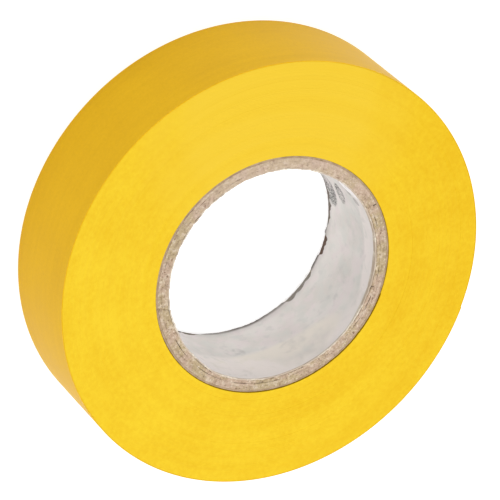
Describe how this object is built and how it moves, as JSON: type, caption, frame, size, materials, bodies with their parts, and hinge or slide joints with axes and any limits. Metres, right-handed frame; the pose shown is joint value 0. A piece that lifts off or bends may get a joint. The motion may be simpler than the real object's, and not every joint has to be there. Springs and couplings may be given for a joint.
{
  "type": "electrical tape roll",
  "caption": "Roll of yellow PVC insulating tape on a paperboard core, with a free end that peels off the outermost turn.",
  "frame": {"origin": "centre of the bottom side face, on the winding axis, in the plane the roll rests on", "axes": "+Z along the winding axis, up out of the bore; the free end of the tape is on the +Y side"},
  "size_m": [0.0778, 0.0779, 0.019],
  "materials": {
    "core_liner_paper": "matte",
    "core_board": "matte",
    "core_kraft_paper": "matte",
    "tape_film": "satin",
    "tape_adhesive": "gloss"
  },
  "bodies": {
    "roll": {"core_liner_ply": "core_liner_paper", "core_board_ply_1": "core_board", "core_board_ply_2": "core_board", "core_board_ply_3": "core_board", "core_outer_ply": "core_kraft_paper", "tape_inner_turns": "tape_film", "tape_outer_turn_film": "tape_film", "tape_outer_turn_adhesive": "tape_adhesive"},
    "free_end_1": {"tape_end_film_1": "tape_film", "tape_end_adhesive_1": "tape_adhesive"},
    "free_end_2": {"tape_end_film_2": "tape_film", "tape_end_adhesive_2": "tape_adhesive"},
    "free_end_3": {"tape_end_film_3": "tape_film", "tape_end_adhesive_3": "tape_adhesive"},
    "free_end_4": {"tape_end_film_4": "tape_film", "tape_end_adhesive_4": "tape_adhesive"},
    "free_end_5": {"tape_end_film_5": "tape_film", "tape_end_adhesive_5": "tape_adhesive"}
  },
  "joints": [
    {"name": "peel", "type": "hinge", "parent": "roll", "child": "free_end_1", "pos_m": [0.02779, 0.02733, 0.0095], "axis": [0, 0, -1], "range_deg": [0, 54]},
    {"name": "bend_2", "type": "hinge", "parent": "free_end_1", "child": "free_end_2", "pos_m": [0.01995, 0.0335, 0.0095], "axis": [0, 0, -1], "range_deg": [0, 18.1]},
    {"name": "bend_3", "type": "hinge", "parent": "free_end_2", "child": "free_end_3", "pos_m": [0.0108, 0.03747, 0.0095], "axis": [0, 0, -1], "range_deg": [0, 18.1]},
    {"name": "bend_4", "type": "hinge", "parent": "free_end_3", "child": "free_end_4", "pos_m": [0.00094, 0.03898, 0.0095], "axis": [0, 0, -1], "range_deg": [0, 18.1]},
    {"name": "bend_5", "type": "hinge", "parent": "free_end_4", "child": "free_end_5", "pos_m": [-0.00898, 0.03795, 0.0095], "axis": [0, 0, -1], "range_deg": [0, 18.1]}
  ],
  "couplings": [
    {"joint": "bend_2", "follows": "peel", "ratio": 0.33333},
    {"joint": "bend_3", "follows": "peel", "ratio": 0.33333},
    {"joint": "bend_4", "follows": "peel", "ratio": 0.33333},
    {"joint": "bend_5", "follows": "peel", "ratio": 0.33333}
  ]
}
